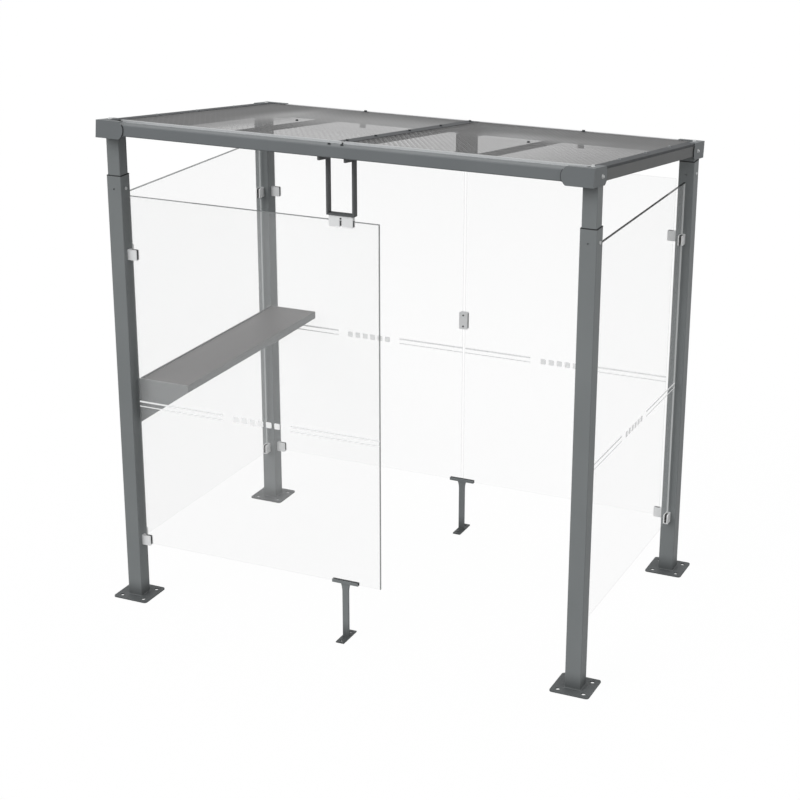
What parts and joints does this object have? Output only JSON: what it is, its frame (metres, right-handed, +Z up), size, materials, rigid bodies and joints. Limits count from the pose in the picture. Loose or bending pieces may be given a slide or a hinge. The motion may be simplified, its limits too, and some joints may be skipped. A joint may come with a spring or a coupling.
{
  "type": "smoking shelter",
  "caption": "Open-fronted glazed shelter: square steel posts, sloping roof frame with smoke-grey fluted sheets, clamped glass panes and a folded leaning shelf.",
  "frame": {"origin": "on the ground, at the centre of the plan", "axes": "+Z up, +X along the entrance side to the right as seen from the front, +Y to the back"},
  "size_m": [2.395, 1.5551, 2.3066],
  "materials": {
    "grey_paint": "satin powder coat",
    "glass": "clear toughened glass",
    "roof_sheet": "smoke-grey fluted polycarbonate, translucent",
    "clamp_metal": "satin silver",
    "closing_aluminium": "mill finish",
    "rubber": "matt black"
  },
  "bodies": {
    "root": {"front_left_post": "grey_paint", "front_right_post": "grey_paint", "rear_left_post": "grey_paint", "rear_right_post": "grey_paint", "base_plates": "grey_paint", "front_left_upper_post": "grey_paint", "front_right_upper_post": "grey_paint", "rear_left_upper_post": "grey_paint", "rear_right_upper_post": "grey_paint", "front_beam": "grey_paint", "rear_beam": "grey_paint", "left_beam": "grey_paint", "right_beam": "grey_paint", "centre_rafter": "grey_paint", "left_purlin": "grey_paint", "right_purlin": "grey_paint", "front_left_cap": "grey_paint", "front_right_cap": "grey_paint", "rear_left_cap": "grey_paint", "rear_right_cap": "grey_paint", "left_roof_sheet": "roof_sheet", "right_roof_sheet": "roof_sheet", "clamping_bar": "grey_paint", "left_edge_trim": "grey_paint", "right_edge_trim": "grey_paint", "front_closing_angles": "closing_aluminium", "rear_closing_angles": "closing_aluminium", "front_glass": "glass", "left_glass": "glass", "right_glass": "glass", "back_left_glass": "glass", "back_right_glass": "glass", "front_clamps": "clamp_metal", "left_clamps": "clamp_metal", "right_clamps": "clamp_metal", "back_clamps": "clamp_metal", "front_top_clamp": "clamp_metal", "rear_top_clamp": "clamp_metal", "seam_clamp": "clamp_metal", "clamp_rubbers": "rubber", "front_hanger": "grey_paint", "rear_hanger": "grey_paint", "front_foot": "grey_paint", "rear_foot": "grey_paint", "shelf": "grey_paint"}
  },
  "joints": []
}
